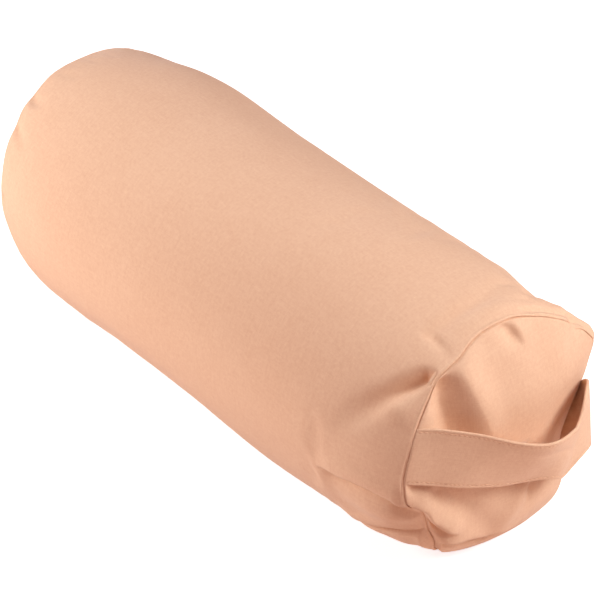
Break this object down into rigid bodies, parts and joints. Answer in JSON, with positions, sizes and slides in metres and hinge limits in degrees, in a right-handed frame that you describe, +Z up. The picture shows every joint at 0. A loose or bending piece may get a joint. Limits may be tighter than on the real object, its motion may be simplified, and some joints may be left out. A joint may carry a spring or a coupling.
{
  "type": "yoga bolster",
  "caption": "Round stuffed yoga bolster with a removable cotton cover, drawn-in ends, a carry strap across one end and a zip along its side.",
  "frame": {"origin": "middle of the flattened strip that the bolster rests on, halfway between its two end seams", "axes": "+X along the bolster towards the end with the carry strap, +Z up, +Y towards the side with the zip"},
  "size_m": [0.5954, 0.23, 0.224],
  "materials": {
    "cover_canvas": "matte",
    "zip_tape": "matte",
    "zip_coil": "satin",
    "zip_metal": "satin",
    "liner_cotton": "matte",
    "filling": "matte"
  },
  "bodies": {
    "cushion": {"cover_body": "cover_canvas", "cover_end_handle": "cover_canvas", "cover_end_plain": "cover_canvas", "handle_tab_front": "cover_canvas", "handle_tab_back": "cover_canvas", "zip_tape_upper": "zip_tape", "zip_tape_lower": "zip_tape", "zip_coil_upper": "zip_coil", "zip_coil_lower": "zip_coil", "zip_top_stop_upper": "zip_metal", "zip_top_stop_lower": "zip_metal", "zip_bottom_stop": "zip_metal", "liner_body": "liner_cotton", "liner_end_handle": "liner_cotton", "liner_end_plain": "liner_cotton", "filling": "filling"},
    "handle": {"handle_loop": "cover_canvas"},
    "slider": {"zip_slider": "zip_metal"},
    "pull": {"zip_pull": "zip_metal"}
  },
  "joints": [
    {"name": "handle_swing", "type": "hinge", "parent": "cushion", "child": "handle", "pos_m": [0.2613, 0, 0.109], "axis": [0, -0.9659, 0.2588], "range_deg": [0, 40]},
    {"name": "zip_slide", "type": "slide", "parent": "cushion", "child": "slider", "axis": [-1, 0, 0], "range_m": [0, 0.29]},
    {"name": "pull_swing", "type": "hinge", "parent": "slider", "child": "pull", "pos_m": [0.145, 0.08225, 0.02675], "axis": [0, 0.7071, 0.7071], "range_deg": [-85, 85]}
  ]
}
